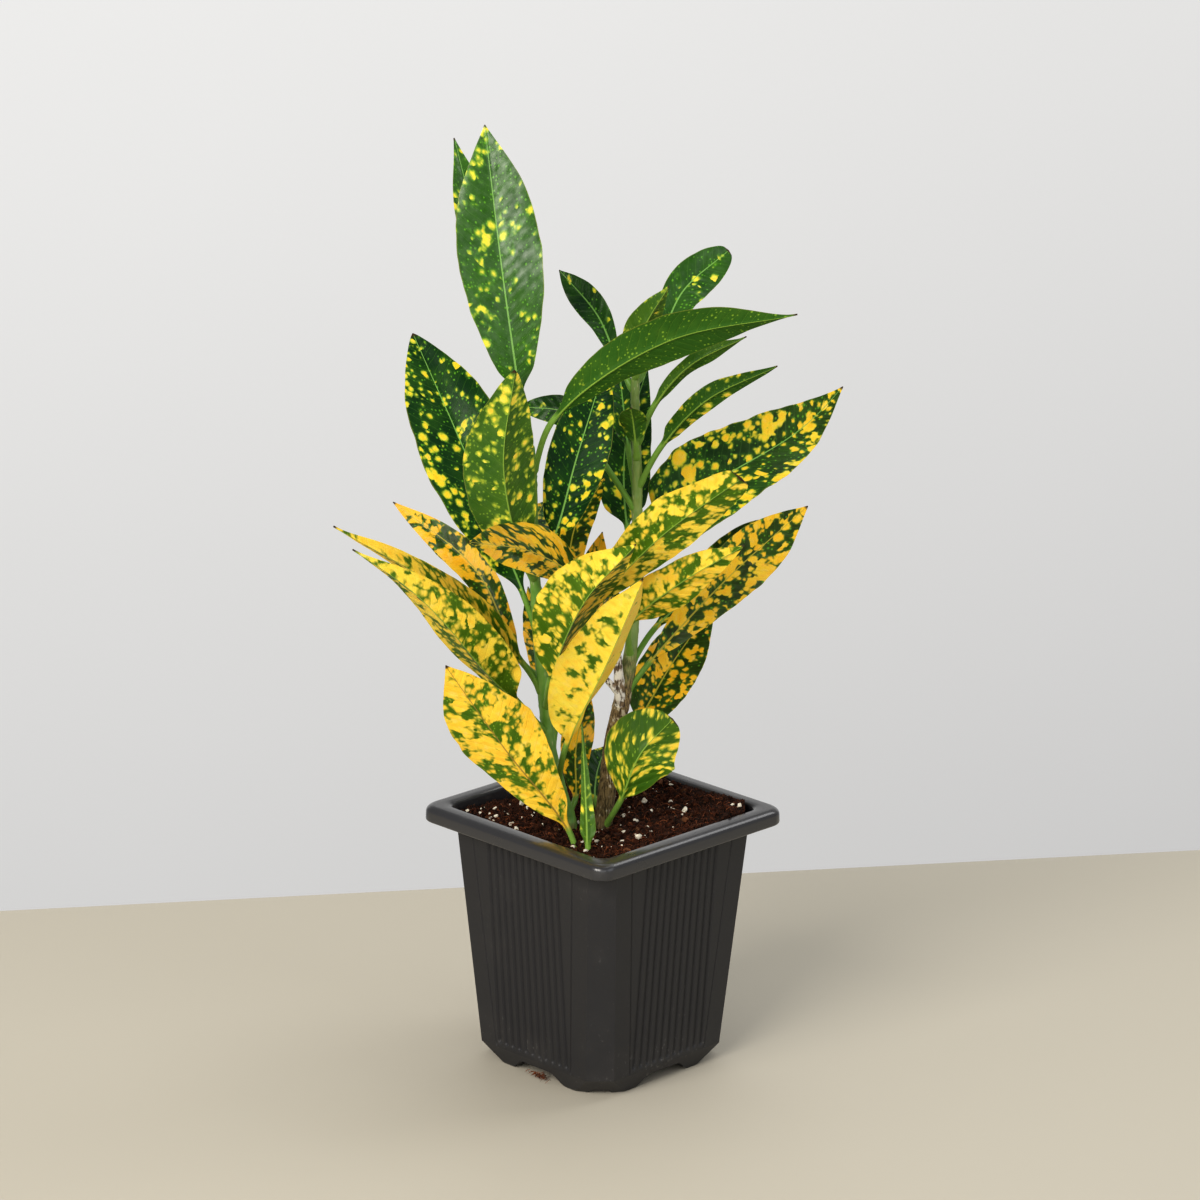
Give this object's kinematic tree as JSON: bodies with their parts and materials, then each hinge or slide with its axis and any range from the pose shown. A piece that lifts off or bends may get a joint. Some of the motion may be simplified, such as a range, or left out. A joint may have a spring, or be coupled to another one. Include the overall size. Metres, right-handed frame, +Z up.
{
  "type": "potted croton",
  "caption": "Gold-dust croton: variegated pointed leaves on two upright stems, rooted in soil in a square ribbed plastic nursery pot with a rolled rim and arched feet.",
  "frame": {"origin": "bottom centre of the whole object's bounding box, on the surface that the pot's feet stand on", "axes": "+Z up along the plant; the square pot stands corner forward, with its corners towards +X, -X, +Y and -Y, and the side seen in the picture faces -Y"},
  "size_m": [0.2106, 0.1542, 0.3992],
  "materials": {
    "pot_plastic": "satin charcoal, moulded",
    "soil": "rough damp peat with pale grains",
    "green_stem": "smooth green stem",
    "bark": "rough brown bark, green towards the top",
    "leaf_green": "glossy deep green with small yellow spots, duller underside",
    "leaf_gold": "glossy golden yellow with dark green islands, duller underside"
  },
  "bodies": {
    "root": {"pot": "pot_plastic", "soil": "soil", "stem_left": "green_stem", "stem_right": "bark", "leaf_top_tall": "leaf_green", "leaf_top_back": "leaf_green", "leaf_left_dark": "leaf_green", "leaf_left_olive": "leaf_green", "leaf_arch_orange": "leaf_gold", "leaf_centre_upper": "leaf_gold", "leaf_centre_gold": "leaf_gold", "leaf_pale_right": "leaf_gold", "leaf_low_left": "leaf_gold", "leaf_left_low": "leaf_gold", "leaf_left_mid": "leaf_gold", "leaf_left_upper": "leaf_gold", "leaf_back_left": "leaf_gold", "leaf_big_green": "leaf_green", "leaf_centre_dark": "leaf_green", "leaf_centre_back": "leaf_gold", "leaf_small_tip": "leaf_gold", "leaf_right_tip": "leaf_green", "leaf_right_top_left": "leaf_green", "leaf_young": "leaf_green", "leaf_right_slim": "leaf_green", "leaf_right_olive": "leaf_green", "leaf_right_long": "leaf_gold", "leaf_right_mid": "leaf_gold", "leaf_right_behind": "leaf_gold", "leaf_right_front": "leaf_gold", "leaf_right_low": "leaf_gold", "leaf_low_right": "leaf_gold", "leaf_behind_right": "leaf_green", "leaf_to_camera": "leaf_green", "leaf_back_curl": "leaf_green", "leaf_slim_front": "leaf_green", "leaf_low_back": "leaf_gold", "leaf_dark_low": "leaf_green", "leaf_back_tall": "leaf_green", "leaf_back_right": "leaf_gold", "leaf_back_low": "leaf_gold", "leaf_back_mid": "leaf_green"}
  },
  "joints": []
}
